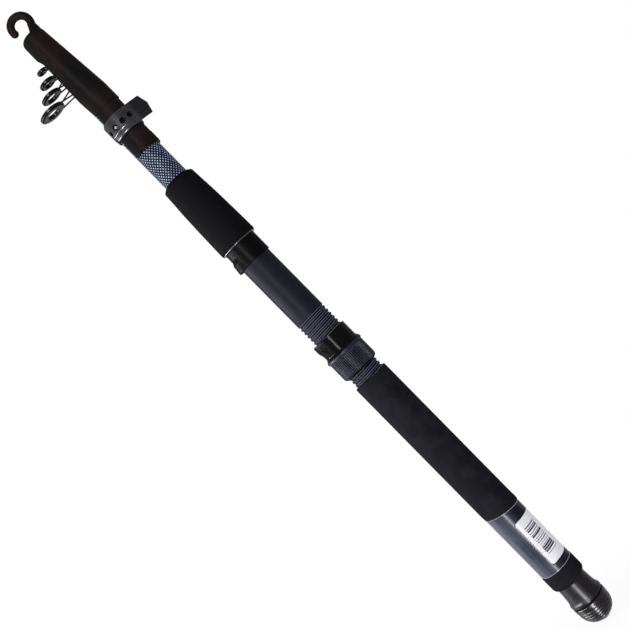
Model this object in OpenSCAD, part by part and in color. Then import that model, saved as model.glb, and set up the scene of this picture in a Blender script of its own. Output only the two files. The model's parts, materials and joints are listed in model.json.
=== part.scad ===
// Telescopic fishing rod, closed, with its tip cover strapped on.
// Millimetres. The rod stands along +Z from the butt end at z = 0, and the guides and reel are on -X.

/* [Butt cap] */
// Diameter of the cap's body
cap_d = 26.4; // [22:0.2:28]
// Length of the cap below the washer
cap_len = 17.8; // [17:0.1:24]
// Radius of the dome's arc
cap_dome_r = 11.85; // [8:0.05:12.5]
// Diameter of the flat nub on the cap's end
nub_d = 8.4; // [5:0.2:10]
// Height that the nub stands below the dome
nub_h = 0.25; // [0.1:0.05:2]
// Diameter of the cap's grip ring
cap_ring_d = 27; // [24:0.2:30]
// Length of the cap's grip ring
cap_ring_len = 4.1; // [3:0.1:4.5]
// Fine grooves round the cap's body
cap_grooves = 4; // [0:1:5]
// Wall of the bush that the plug screws into
bush_wall = 0.6; // [0.4:0.05:1.5]
// Length of the threaded plug
plug_len = 16.3; // [8:0.1:20]
// Pitch of the plug's thread
plug_pitch = 2; // [1:0.1:3]
// Thickness of the shock pad
pad_t = 4; // [2:0.1:8]
// Thickness of the washer
washer_t = 1.1; // [0.6:0.1:2]
// Wall of the neck between the cap and the rear grip
neck_wall = 0.9; // [0.6:0.05:1.8]
// Length of the neck that shows
neck_len = 16.7; // [10:0.1:20]
// Length of the neck's flange on the washer
neck_flange_len = 2.4; // [1:0.1:5]
// Widening of the neck towards its flange
neck_flare = 0.8; // [0:0.05:1.2]
// Depth that the neck's collar goes into the rear grip
neck_depth = 7.5; // [3:0.1:15]

/* [Grips] */
// Diameter of the rear grip
grip_d = 27.4; // [26:0.1:34]
// Length of the rear grip
rear_grip_len = 198.8; // [140:0.2:260]
// Rounding of the rear grip's lower end
grip_round = 3; // [1:0.1:5]
// Diameter of the fore grip's lower end
fore_low_d = 30.4; // [27:0.1:36]
// Diameter of the fore grip before its rounded top end
fore_top_d = 28; // [25:0.1:32]
// Length of the fore grip
fore_grip_len = 62.4; // [40:0.2:100]
// Rounding of the fore grip's top end
fore_round = 5; // [2:0.1:7]
// Thickness of the trim ring under the fore grip
trim_t = 0.8; // [0.4:0.1:2]

/* [Film and label] */
// Height of the film's lower edge above the rear grip's lower end
film_rise = 14; // [8:0.2:40]
// Length of the film
film_len = 54.4; // [50:0.2:90]
// Slant of the film's upper edge
film_slant = 9; // [0:0.5:15]
// Depth that the film draws the foam in
film_squeeze = 0.6; // [0.35:0.05:1.2]
// Thickness of the film
film_t = 0.12; // [0.08:0.01:0.2]
// Height of the label's lower edge above the film's
label_rise = 4.1; // [2:0.1:8]
// Length of the label along the rod
label_len = 39.6; // [25:0.2:42]
// Width of the label round the grip
label_w = 30; // [20:0.5:40]
// Thickness of the label
label_t = 0.1; // [0.08:0.01:0.2]

/* [Reel seat] */
// Wall of the seat tube at its lower end
seat_wall = 1.8; // [1.4:0.05:3]
// Length of the seat tube
seat_len = 130.1; // [110:0.2:180]
// Length of the thread
thread_len = 60.8; // [45:0.2:70]
// Pitch of the thread
thread_pitch = 3.2; // [2:0.1:4]
// Depth of the thread
thread_depth = 0.8; // [0.3:0.05:1]
// Height of the lock nut above the rear grip
nut_rise = 8; // [2:0.2:20]
// Wall of the lock nut, over its ribs
nut_wall = 2.4; // [1.6:0.05:5]
// Length of the lock nut
nut_len = 19; // [15:0.2:26]
// Rounding of the lock nut's lower end
nut_round = 3.2; // [0.5:0.1:4]
// Ribs round the lock nut
nut_ribs = 72; // [24:1:90]
// Depth of the grooves between the ribs
rib_depth = 0.4; // [0.2:0.05:0.6]
// Height of the lock nut's flange over its ribs
flange_rise = 0.8; // [0.3:0.05:2]
// Length of the lock nut's flange
flange_len = 3.4; // [2:0.1:5]
// Wall of the sliding hood
slide_hood_wall = 1.55; // [1.2:0.05:2.4]
// Length of the sliding hood above the nut
slide_hood_len = 14.4; // [11:0.1:22]
// Height of the lip over the sliding hood
slide_lip_rise = 1.15; // [0.9:0.05:3]
// Length of the sliding hood's lip
slide_lip_len = 8; // [5:0.1:10]
// Depth of the sliding hood's skirt in the nut
skirt_len = 5.4; // [3:0.1:8]
// Wall of the sliding hood's skirt
skirt_wall = 0.55; // [0.4:0.05:0.9]
// Wall of the front hood
front_hood_wall = 0.95; // [0.8:0.05:2.4]
// Length of the front hood
front_hood_len = 16.2; // [11:0.1:24]
// Height of the lip over the front hood
front_lip_rise = 1.95; // [1:0.05:3]
// Length of the front hood's lip
front_lip_len = 9; // [5:0.1:10]
// Radius of the lips' crown
lip_r = 11.2; // [9.5:0.1:11.8]
// Wall of the hoods' lips
lip_wall = 1; // [0.6:0.05:1.2]

/* [Sections] */
// Outside diameter of the butt section at its mouth
mouth_d = 19.3; // [18.9:0.1:21]
// Length of the butt section above the fore grip
bare_len = 89.4; // [85:0.2:120]
// Taper of every tube, in millimetres of diameter for each metre
taper = 3.5; // [2:0.1:4.5]
// Wall of the butt section
butt_wall = 1; // [0.7:0.05:1.2]
// Wall of section 2
wall_2 = 0.9; // [0.5:0.05:1]
// Wall of section 3
wall_3 = 0.8; // [0.5:0.05:0.9]
// Wall of section 4
wall_4 = 0.7; // [0.4:0.05:0.8]
// Wall of section 5
wall_5 = 0.6; // [0.4:0.05:0.7]
// Length that stays inside when a section is drawn out
overlap = 65; // [40:1:100]
// Radial clearance left when a section is drawn out
section_clear = 0.1; // [0.05:0.01:0.2]
// Diameter of the tip section's end
tip_d = 1.8; // [1.2:0.1:2.4]

/* [Guides] */
// Length of a guide's collar
collar_len = 8.2; // [6:0.1:9]
// Wall of a guide's collar
collar_wall = 1.2; // [1.05:0.05:1.5]
// Outside diameter of guide 2's ring
ring_2_d = 20.7; // [18:0.1:24]
// Distance from the rod's axis to guide 2's ring
drop_2 = 28.9; // [24:0.1:34]
// Line hole of guide 2
hole_2_d = 9.4; // [8:0.1:14]
// Outside diameter of guide 3's ring
ring_3_d = 16.7; // [14:0.1:18]
// Distance from the rod's axis to guide 3's ring
drop_3 = 21.5; // [21:0.1:26]
// Line hole of guide 3
hole_3_d = 8.5; // [6:0.1:11]
// Outside diameter of guide 4's ring
ring_4_d = 13.5; // [11:0.1:14]
// Distance from the rod's axis to guide 4's ring
drop_4 = 16.7; // [16.4:0.1:20]
// Line hole of guide 4
hole_4_d = 6.5; // [5:0.1:8]
// Outside diameter of guide 5's ring
ring_5_d = 8.4; // [8:0.1:9.4]
// Distance from the rod's axis to guide 5's ring
drop_5 = 13.9; // [12:0.1:15]
// Line hole of guide 5
hole_5_d = 4.2; // [3.6:0.1:4.4]
// Length of the hard rings along the rod
ring_w = 3; // [2:0.1:3.6]
// Length of the frames' bands along the rod
band_w = 2.2; // [1.6:0.1:2.6]
// Thickness of the frames' bands
band_t = 1.2; // [0.8:0.05:1.4]
// Diameter of the frames' legs
leg_d = 1.1; // [0.8:0.05:1.15]
// Distance between a guide's two side legs at its collar
leg_spread = 5.2; // [3:0.1:6]
// Length of the tip-top's tube
tip_tube_len = 8.4; // [6:0.1:9]
// Wall of the tip-top's tube
tip_tube_wall = 0.7; // [0.4:0.05:1]
// Outside diameter of the tip-top's ring
tip_ring_d = 6.4; // [5.6:0.1:7]
// Line hole of the tip-top
tip_hole_d = 3; // [2:0.1:3.4]

/* [Tip cover] */
// Wall of the cover
cover_wall = 1.3; // [1:0.05:1.5]
// Distance from the butt section's mouth down to the cover's widest place
cover_drop = 6; // [2:0.1:10]
// Height of the cover's widest place over its lower edge
cover_swell = 0.45; // [0:0.05:2]
// Diameter of the cover at its closed end
cover_end_d = 18.8; // [18:0.1:22]
// Length of the cover above its widest place
cover_len = 59.5; // [58:0.1:80]
// Length of the cover's flare below its widest place
flare_len = 14.3; // [10:0.1:16]
// Height of the flare's lower edge over the tongue
flare_step = 0.7; // [0.4:0.05:1.5]
// Lean of the cover towards the guides
cover_lean = 2.1; // [0:0.1:3]
// Rounding of the closed end
cover_round = 4; // [2:0.1:6]
// Width of the slot that the guides stand in
slot_w = 11.2; // [11:0.1:13]
// Length of the slot above the cover's widest place
slot_len = 44; // [42:0.2:50]
// Length of the tongue below the cover
tongue_len = 41.7; // [38:0.1:60]
// Wall of the tongue
tongue_wall = 0.8; // [0.7:0.05:1.2]
// Distance that the tongue's centre lies off the rod's axis
tongue_x = 0.55; // [0.1:0.05:0.6]
// Fine ribs round the tongue's lower end
tongue_ribs = 4; // [0:1:6]
// Diameter of the hook's bar
hook_bar_d = 5.7; // [3:0.1:5.9]
// Diameter of the ball on the hook's free end
hook_ball_d = 5.9; // [5.8:0.1:8]
// Radius of the hook
hook_r = 7.3; // [6.6:0.1:10]
// Height of the hook's lowest centre line above the cover's end
hook_rise = 2.4; // [1:0.1:3]
// Distance that the hook's centre lies off the rod's axis, towards the guides
hook_shift = 2; // [0:0.1:3]
// Turn of the hook from its root to its free end
hook_turn = 222; // [200:1:240]
// Diameter of the stalk that carries the hook, at its foot in the cover's end
stalk_d = 12; // [8:0.1:13]

/* [Strap] */
// Width of the strap
strap_w = 15.4; // [10:0.1:18]
// Thickness of the strap
strap_t = 1.3; // [0.9:0.05:1.4]
// Height of the strap's lower edge above the tongue's end
strap_rise = 17.2; // [12:0.1:24]
// Length of the strap's straight tail
tail_len = 20; // [12:0.2:30]
// Height of the point at the tail's end
tail_point = 1.8; // [0.5:0.1:4]
// Narrowing of the tail's upper edge towards its end
tail_taper = 1.3; // [0.2:0.1:3]
// Diameter of the strap's holes
strap_hole_d = 4.2; // [3.6:0.1:4.6]
// Distance between the strap's holes
strap_hole_pitch = 6.9; // [6:0.1:7.4]
// Diameter of the stud
stud_d = 2; // [1.4:0.1:2.2]

/* [Hidden] */
$fn = 96;

// Clearances
glue_gap = 0.08;     // round pieces that are glued on the rod
run_gap = 0.2;       // round pieces that turn or slide on one another
face_gap = 0.1;      // end faces that meet
over = 1;            // length that a cut runs past a face

// Heights along the rod, from the butt end up
washer_z = cap_len;
collar_z = washer_z + washer_t + face_gap;
rear_z = cap_len + washer_t + neck_len;
rear_top_z = rear_z + rear_grip_len;
film_z = rear_z + film_rise;
label_z = film_z + label_rise;
seat_z = rear_top_z;
seat_top_z = seat_z + seat_len;
nut_z = seat_z + nut_rise;
nut_top_z = nut_z + nut_len;
slide_hood_z = nut_top_z + face_gap;
slide_mouth_z = slide_hood_z + slide_hood_len;
front_mouth_z = seat_top_z - front_hood_len;
trim_z = seat_top_z;
fore_z = trim_z + trim_t;
fore_top_z = fore_z + fore_grip_len;
mouth_z = fore_top_z + bare_len;
pad_z = washer_z + plug_len;
base_z = pad_z + pad_t + run_gap;

// Radii of the nested tubes
slope = taper / 2000;
collar_gap = 0.3;
wall = [0, butt_wall, wall_2, wall_3, wall_4, wall_5];
function top_z(k) = mouth_z + (k - 1) * (collar_len + collar_gap);
function base_r(k) = top_r(k - 1) - wall[k - 1] - section_clear + slope * overlap;
function top_r(k) = k == 1 ? mouth_d / 2 : base_r(k) - slope * (top_z(k) - base_z);
function tube_r(k, z) = top_r(k) + slope * (top_z(k) - z);
butt_z = collar_z;

// Diameters that follow the tubes that the pieces sit on
plug_d = 2 * (tube_r(1, butt_z + plug_len) - butt_wall - glue_gap - bush_wall - run_gap);
neck_d = 2 * (tube_r(1, butt_z) + glue_gap + neck_wall);
seat_d = 2 * (tube_r(1, seat_z) + glue_gap + seat_wall);
nut_bore_r = seat_d / 2 + run_gap;
nut_d = 2 * (nut_bore_r + nut_wall);
flange_d = nut_d + 2 * flange_rise;
slide_hood_d = 2 * (nut_bore_r + slide_hood_wall);
skirt_r = nut_bore_r + skirt_wall;
front_hood_d = 2 * (seat_d / 2 + glue_gap + front_hood_wall);

// Guides, by section number
ring_d = [0, 0, ring_2_d, ring_3_d, ring_4_d, ring_5_d];
drop = [0, 0, drop_2, drop_3, drop_4, drop_5];
hole_d = [0, 0, hole_2_d, hole_3_d, hole_4_d, hole_5_d];
function ring_z(k) = top_z(k) - collar_len / 2;
function collar_r(k) = top_r(k) + collar_wall;
side_leg_angle = 45; // place of the side legs on the ring, from the side near the rod
tip_z = top_z(5) + collar_gap + tip_tube_len;
tip_tube_r = tip_d / 2 + tip_tube_wall;
tip_ring_x = tip_tube_r + tip_ring_d / 2 - band_t / 2;
tip_ring_z = tip_z - band_w / 2;

// Rounded edges and fine grooves
edge_round = 0.6;
ring_edge_round = 1.2;
groove_w = 0.5;
groove_depth = 0.3;
groove_pitch = 2.1;
film_r = grip_d / 2 - film_squeeze;
label_gap = 0.03;
label_start = -95;   // the label's front edge, from +X

// Tip cover
wide_z = mouth_z - cover_drop;
cover_x = 0.1;
tongue_z = wide_z - flare_len - tongue_len;
tongue_top_z = wide_z - flare_len / 2;
tongue_bore_r = tube_r(1, tongue_z) + run_gap;
tongue_d = 2 * (tongue_bore_r + tongue_wall);
flare_d = tongue_d + 2 * flare_step;
cover_wide_d = flare_d + 2 * cover_swell;
slot_edge_x = -4.5;    // depth that the slot is cut to
slot_top_z = wide_z + slot_len;
tongue_rib_pitch = 2;
tongue_rib_w = 0.8;
tongue_rib_h = 0.25;
cover_end_z = wide_z + cover_len * cos(cover_lean);
hook_z = cover_end_z + hook_r + hook_rise;
hook_root = -35;
stalk_inset = 0.25;  // distance that the stalk's foot lies inside the cover's side
stalk_foot = [cover_x - (cover_len - stalk_d / 2) * sin(cover_lean) + (cover_end_d - stalk_d) / 2 - stalk_inset,
    cover_end_z - stalk_d / 2];
stalk_run = [hook_r * cos(hook_root) - hook_shift, hook_z + hook_r * sin(hook_root)] - stalk_foot;

// Strap
strap_z = tongue_z + strap_rise;
strap_in_r = tongue_d / 2 + collar_gap;
strap_mid_r = strap_in_r + strap_t / 2;
layer_gap = 0.25;
tail_in_r = strap_in_r + strap_t + layer_gap;
tail_mid_r = tail_in_r + strap_t / 2;
hinge_a = -172;      // angles round the strap, from +X
tail_a = -140;
band_a = -125;
stud_a = -113;
leave_a = -75;
band_end_a = 360 + hinge_a - 5;
hole_step_a = strap_hole_pitch / tail_mid_r * 180 / PI;
stud_h = layer_gap + strap_t * 0.7;
tail_steps = 16;
function strap_point(r, a) = [tongue_x + r * cos(a), r * sin(a)];
hinge_p = strap_point(strap_mid_r, hinge_a);
tail_p = strap_point(tail_mid_r, tail_a);

// A straight or tapered tube
module tube(z, h, out_low, out_high, in_low, in_high) {
    difference() {
        translate([0, 0, z]) cylinder(h = h, r1 = out_low, r2 = out_high);
        cone_cut(z, h, in_low, in_high);
    }
}

// A bore that runs past both ends at its own taper
module cone_cut(z, h, low, high) {
    grow = (low - high) / h * over;
    translate([0, 0, z - over]) cylinder(h = h + 2 * over, r1 = low + grow, r2 = high - grow);
}

// The bore for the butt section, with room for glue
module blank_bore(z, h, gap = glue_gap) {
    cone_cut(z, h, tube_r(1, z) + gap, tube_r(1, z + h) + gap);
}

// What lies outside a rounded corner at [x, y], on the side that sx and sy point to
module corner(x, y, r, sx, sy) {
    translate([x - sx * r, y - sy * r]) difference() {
        translate([sx > 0 ? 0 : -r - over, sy > 0 ? 0 : -r - over]) square(r + over);
        circle(r);
    }
}

// A disc profile with its outer edges rounded
module disc_profile(r, z, h, low = edge_round, high = edge_round) {
    difference() {
        translate([0, z]) square([r, h]);
        corner(r, z, low, 1, -1);
        corner(r, z + h, high, 1, 1);
    }
}

// Ridges of a thread, drawn as a profile
module thread_profile(root, crest, pitch, z, h) {
    turns = floor(h / pitch);
    polygon(concat(
        [[0, z]],
        [for (i = [0 : turns - 1]) each [
            [root, z + i * pitch],
            [root, z + (i + 0.2) * pitch],
            [crest, z + (i + 0.4) * pitch],
            [crest, z + (i + 0.75) * pitch],
            [root, z + (i + 0.95) * pitch]
        ]],
        [[root, z + h], [0, z + h]]
    ));
}

// A round bar between two points
module bar(p, q, d) {
    v = q - p;
    translate(p)
        rotate([0, acos(v.z / norm(v)), atan2(v.y, v.x)])
            cylinder(h = norm(v), d = d, $fn = 24);
}

// A band with round edges, such as a guide frame's ring
module band_profile(out_r, t, w) {
    translate([out_r - t, -w / 2 + t / 2]) square([t, w - t]);
    for (s = [-1, 1]) translate([out_r - t / 2, s * (w - t) / 2]) circle(d = t);
}

// A hard ring with a rounded bore
module ring_profile(out_r, hole_r, w) {
    intersection() {
        translate([hole_r, -w / 2]) square([out_r - hole_r, w]);
        union() {
            translate([hole_r + w / 2, 0]) circle(d = w);
            translate([hole_r + w / 2, -w / 2]) square([out_r, w]);
        }
    }
}

module butt_blank() {
    h = mouth_z - butt_z;
    color([0.13, 0.15, 0.22])
        tube(butt_z, h, tube_r(1, butt_z), top_r(1), tube_r(1, butt_z) - butt_wall, top_r(1) - butt_wall);
}

module section_blank(k) {
    h = top_z(k) - base_z;
    color([0.13, 0.15, 0.22])
        tube(base_z, h, base_r(k), top_r(k), base_r(k) - wall[k], top_r(k) - wall[k]);
}

module tip_rod() {
    color([0.2, 0.2, 0.24]) translate([0, 0, base_z])
        cylinder(h = tip_z - base_z, r1 = base_r(6), r2 = tip_d / 2);
}

module rear_grip() {
    color([0.09, 0.09, 0.1]) difference() {
        rotate_extrude() disc_profile(grip_d / 2, rear_z, rear_grip_len, grip_round, edge_round);
        blank_bore(rear_z, rear_grip_len);
        translate([0, 0, rear_z - over])
            cylinder(h = neck_depth + over + face_gap, d = neck_d + 2 * glue_gap);
        difference() {
            film_tube(film_r, grip_d / 2 + over);
            film_cut();
        }
    }
}

// The film's tube before its upper edge is cut
module film_tube(in_r, out_r) {
    tube(film_z, film_len + grip_d / 2, out_r, out_r, in_r, in_r);
}

// What lies above the film's slanted edge
module film_cut() {
    translate([0, 0, film_z + film_len]) rotate([0, film_slant, 0]) translate([-grip_d, -grip_d, 0])
        cube([2 * grip_d, 2 * grip_d, grip_d]);
}

module label_film() {
    low_r = film_r + label_t + 2 * label_gap;
    color([0.35, 0.37, 0.43, 0.5]) difference() {
        film_tube(low_r, low_r + film_t);
        film_cut();
        translate([0, 0, film_z - over]) cylinder(h = over + face_gap, d = grip_d);
    }
}

module label() {
    turn = label_w / film_r * 180 / PI;
    color("white") rotate([0, 0, label_start])
        rotate_extrude(angle = turn) translate([film_r + label_gap, label_z]) square([label_t, label_len]);
}

module butt_collar() {
    h = rear_z + neck_depth - collar_z;
    color([0.1, 0.1, 0.12]) difference() {
        rotate_extrude() {
            disc_profile(neck_d / 2, collar_z, h);
            polygon([[0, collar_z + edge_round], [neck_d / 2 + neck_flare, collar_z + edge_round],
                [neck_d / 2, rear_z], [0, rear_z]]);
            disc_profile(cap_ring_d / 2, collar_z, neck_flange_len);
        }
        blank_bore(collar_z, h);
    }
}

module threaded_bush() {
    in_r = plug_d / 2 + run_gap;
    color([0.55, 0.5, 0.35])
        tube(butt_z, plug_len, tube_r(1, butt_z) - butt_wall - glue_gap,
            tube_r(1, butt_z + plug_len) - butt_wall - glue_gap, in_r, in_r);
}

module butt_washer() {
    r = (neck_d + cap_ring_d) / 4;
    in_r = plug_d / 2 + run_gap;
    color([0.05, 0.05, 0.05]) tube(washer_z, washer_t, r, r, in_r, in_r);
}

module butt_cap() {
    ring_z = cap_len - cap_ring_len;
    dome_r = min(cap_dome_r, ring_z - nub_h);
    dome_z = nub_h + dome_r;
    function body_r(z) = cap_d / 2 - dome_r + sqrt(dome_r * dome_r - pow(max(0, dome_z - z), 2));
    color([0.12, 0.11, 0.13]) rotate_extrude() {
        difference() {
            union() {
                square([nub_d / 2, dome_z]);
                intersection() {
                    translate([cap_d / 2 - dome_r, dome_z]) circle(dome_r);
                    square([cap_d / 2, dome_z]);
                }
                translate([0, dome_z]) square([cap_d / 2, ring_z + over - dome_z]);
            }
            for (i = [1 : 1 : cap_grooves])
                translate([body_r(ring_z - i * groove_pitch) - groove_depth, ring_z - i * groove_pitch])
                    square([over, groove_w]);
        }
        disc_profile(cap_ring_d / 2, ring_z, cap_ring_len, ring_edge_round, ring_edge_round);
        thread_profile(plug_d / 2 - plug_pitch / 4, plug_d / 2, plug_pitch, cap_len - over, plug_len + over);
    }
}

module shock_pad() {
    color([0.2, 0.2, 0.2]) rotate_extrude() disc_profile(plug_d / 2 - run_gap, pad_z, pad_t);
}

module reel_seat() {
    color([0.2, 0.21, 0.26]) difference() {
        rotate_extrude() {
            thread_profile(seat_d / 2 - thread_depth, seat_d / 2, thread_pitch, seat_z, thread_len);
            translate([0, seat_z + thread_len - thread_pitch / 4])
                square([seat_d / 2, seat_len - thread_len + thread_pitch / 4]);
        }
        blank_bore(seat_z, seat_len);
    }
}

// A reel-foot hood with its mouth at z = 0 and its lip on -X
module hood(len, d, bore_r, lip_rise, lip_len) {
    reach = d / 2 + lip_rise;
    difference() {
        union() {
            rotate_extrude() disc_profile(d / 2, 0, len, edge_round, edge_round);
            translate([lip_r - reach, 0, 0]) cylinder(h = lip_len, r1 = lip_r, r2 = lip_r - lip_rise);
        }
        translate([0, 0, -over]) cylinder(h = len + 2 * over, r = bore_r);
        translate([lip_r - reach, 0, 0]) {
            cylinder(h = lip_len - lip_wall, r1 = lip_r - lip_wall, r2 = lip_r - reach + bore_r);
            translate([0, 0, -over]) cylinder(h = 2 * over, r = lip_r - lip_wall);
        }
    }
}

module front_hood() {
    color([0.06, 0.06, 0.07]) translate([0, 0, front_mouth_z])
        hood(front_hood_len, front_hood_d, seat_d / 2 + glue_gap, front_lip_rise, front_lip_len);
}

module sliding_hood() {
    color([0.06, 0.06, 0.07]) {
        translate([0, 0, slide_mouth_z]) mirror([0, 0, 1])
            hood(slide_hood_len, slide_hood_d, nut_bore_r, slide_lip_rise, slide_lip_len);
        tube(slide_hood_z - skirt_len, skirt_len + over, skirt_r, skirt_r, nut_bore_r, nut_bore_r);
    }
}

module lock_nut() {
    color([0.25, 0.27, 0.34]) difference() {
        union() {
            intersection() {
                translate([0, 0, nut_z]) linear_extrude(nut_len - flange_len + over) difference() {
                    circle(d = nut_d);
                    for (i = [1 : nut_ribs]) rotate(i * 360 / nut_ribs) translate([nut_d / 2, 0])
                        circle(r = rib_depth, $fn = 16);
                }
                rotate_extrude()
                    disc_profile(nut_d / 2 + over, nut_z, nut_len, nut_round + over, edge_round);
            }
            rotate_extrude()
                disc_profile(flange_d / 2, nut_top_z - flange_len, flange_len, ring_edge_round, edge_round);
        }
        translate([0, 0, nut_z - over]) cylinder(h = nut_len + 2 * over, r = nut_bore_r);
        translate([0, 0, slide_hood_z - skirt_len - face_gap])
            cylinder(h = skirt_len + over, r = skirt_r + run_gap);
    }
}

module fore_trim_ring() {
    r = fore_low_d / 2 - edge_round;
    color([0.75, 0.75, 0.78]) difference() {
        rotate_extrude() disc_profile(r, trim_z, trim_t, trim_t / 3, trim_t / 3);
        blank_bore(trim_z, trim_t);
    }
}

module fore_grip() {
    low_r = fore_low_d / 2;
    top = fore_top_d / 2;
    color([0.09, 0.09, 0.1]) difference() {
        intersection() {
            translate([0, 0, fore_z]) cylinder(h = fore_grip_len, r1 = low_r, r2 = top);
            rotate_extrude()
                disc_profile(low_r, fore_z, fore_grip_len, edge_round, fore_round + low_r - top);
        }
        blank_bore(fore_z, fore_grip_len);
    }
}

// A guide's collar, legs and band, brazed in one piece
module guide_frame(k) {
    z = ring_z(k);
    low_z = top_z(k) - collar_len;
    r = ring_d[k] / 2 - band_t / 2;
    foot_r = collar_r(k) - collar_wall / 2;
    side_y = leg_spread / 2;
    color([0.1, 0.1, 0.12]) {
        difference() {
            union() {
                translate([0, 0, low_z]) cylinder(h = collar_len, r = collar_r(k));
                leg([-foot_r, 0, top_z(k) - leg_d], [r - drop[k], 0, z + band_w / 4]);
                for (s = [-1, 1])
                    leg([-sqrt(pow(foot_r, 2) - pow(side_y, 2)), s * side_y, z - collar_len / 4],
                        [r * cos(side_leg_angle) - drop[k], s * r * sin(side_leg_angle), z - band_w / 4]);
            }
            cone_cut(low_z, collar_len, tube_r(k, low_z) + glue_gap, top_r(k) + glue_gap);
        }
        translate([-drop[k], 0, z]) rotate_extrude() band_profile(ring_d[k] / 2, band_t, band_w);
    }
}

// A leg from its foot, which starts inside the collar's wall, to the band
module leg(foot, end) {
    way = (end - foot) / norm(end - foot);
    bar(foot - collar_wall * way, end, leg_d);
}

module guide_ring(k) {
    color([0.2, 0.22, 0.27]) translate([-drop[k], 0, ring_z(k)])
        rotate_extrude() ring_profile(ring_d[k] / 2 - band_t - face_gap, hole_d[k] / 2, ring_w);
}

module tip_top_frame() {
    low_z = tip_z - tip_tube_len;
    rod_slope = (base_r(6) - tip_d / 2) / (tip_z - base_z);
    color([0.1, 0.1, 0.12]) {
        tube(low_z, tip_tube_len, tip_tube_r, tip_tube_r,
            tip_d / 2 + rod_slope * tip_tube_len + glue_gap, tip_d / 2 + glue_gap);
        translate([-tip_ring_x, 0, tip_ring_z]) rotate_extrude() band_profile(tip_ring_d / 2, band_t, band_w);
    }
}

module tip_top_ring() {
    color([0.2, 0.22, 0.27]) translate([-tip_ring_x, 0, tip_ring_z])
        rotate_extrude() ring_profile(tip_ring_d / 2 - band_t - glue_gap, tip_hole_d / 2, band_w);
}

// Outline of the cover's shell from its lower edge to its closed end, drawn in by a wall
function cover_outline(w) =
    let (r = cover_end_d / 2 - cover_round)
    concat(
        [[0, -flare_len - (w > 0 ? over : 0)], [flare_d / 2 - w, -flare_len - (w > 0 ? over : 0)]],
        [[cover_wide_d / 2 - w, 0]],
        [for (a = [0 : 15 : 90])
            [r + (cover_round - w) * cos(a), cover_len - cover_round + (cover_round - w) * sin(a)]],
        [[0, cover_len - w]]
    );

// The cover's body, drawn in by a wall
module cover_body(w) {
    translate([cover_x, 0, wide_z]) rotate([0, -cover_lean, 0]) rotate_extrude() polygon(cover_outline(w));
}

// The stalk runs from the side of the cover's end to the hook's root
module hook_stalk() {
    translate([stalk_foot.x, 0, stalk_foot.y]) rotate([0, atan2(stalk_run.x, stalk_run.y), 0])
        cylinder(h = norm(stalk_run), d1 = stalk_d, d2 = hook_bar_d);
}

module tip_cover() {
    rib_r = tongue_d / 2 + tongue_rib_h;
    color([0.13, 0.11, 0.1]) {
        difference() {
            union() {
                translate([tongue_x, 0, 0]) rotate_extrude() {
                    translate([0, tongue_z]) square([tongue_d / 2, tongue_top_z - tongue_z]);
                    for (i = [1 : 1 : tongue_ribs])
                        translate([0, tongue_z + i * tongue_rib_pitch]) square([rib_r, tongue_rib_w]);
                }
                difference() {
                    union() {
                        cover_body(0);
                        hook_stalk();
                    }
                    cover_body(cover_wall);
                }
            }
            translate([0, 0, tongue_z - over])
                cylinder(h = mouth_z - tongue_z + 2 * over, r = tongue_bore_r);
            translate([-cover_wide_d, -slot_w / 2, tongue_z - over])
                cube([cover_wide_d + slot_edge_x, slot_w, slot_top_z - slot_w / 2 - tongue_z + over]);
            translate([-cover_wide_d, 0, slot_top_z - slot_w / 2]) rotate([0, 90, 0])
                cylinder(h = cover_wide_d + slot_edge_x, d = slot_w);
        }
        translate([-hook_shift, 0, hook_z]) rotate([90, 0, 0]) rotate([0, 0, hook_root]) {
            rotate_extrude(angle = hook_turn) translate([hook_r, 0]) circle(d = hook_bar_d);
            translate([hook_r, 0, 0]) rotate([90, 0, 0]) sphere(d = hook_ball_d);
            rotate([0, 0, hook_turn]) translate([hook_r, 0, 0]) rotate([90, 0, 0]) sphere(d = hook_ball_d);
        }
    }
}

// A stretch of strap bent round the tongue
module strap_arc(in_r, from, to) {
    translate([tongue_x, 0, strap_z]) rotate([0, 0, from])
        rotate_extrude(angle = to - from) translate([in_r, 0]) square([strap_t, strap_w]);
}

// A hole through the tail at an angle round the tongue
module strap_hole(a) {
    translate([tongue_x, 0, strap_z + strap_w / 2]) rotate([0, 0, a]) translate([tail_in_r - 2 * over, 0, 0])
        rotate([0, 90, 0]) cylinder(h = strap_t + 4 * over, d = strap_hole_d);
}

module strap_band() {
    color([0.23, 0.23, 0.24]) strap_arc(strap_in_r, band_a, band_end_a);
}

module strap_stud() {
    color([0.6, 0.6, 0.62]) translate([tongue_x, 0, strap_z + strap_w / 2]) rotate([0, 0, stud_a])
        translate([strap_in_r + strap_t, 0, 0]) rotate([0, 90, 0]) {
            cylinder(h = stud_h - stud_d / 4, d = stud_d);
            cylinder(h = stud_h, d = stud_d / 2);
        }
}

// The tail's outline from its hinge round the band to its straight end
function tail_outline() =
    let (v = tail_p - hinge_p)
    let (n = [v.y, -v.x] / norm(v) * strap_t / 2)
    let (run = (tail_len + over) * [cos(leave_a + 90), sin(leave_a + 90)])
    let (turn = leave_a - tail_a)
    concat(
        [hinge_p + n],
        [for (i = [0 : tail_steps]) strap_point(tail_in_r + strap_t, tail_a + i * turn / tail_steps)],
        [strap_point(tail_in_r + strap_t, leave_a) + run, strap_point(tail_in_r, leave_a) + run],
        [for (i = [0 : tail_steps]) strap_point(tail_in_r, leave_a - i * turn / tail_steps)],
        [hinge_p - n]
    );

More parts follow.
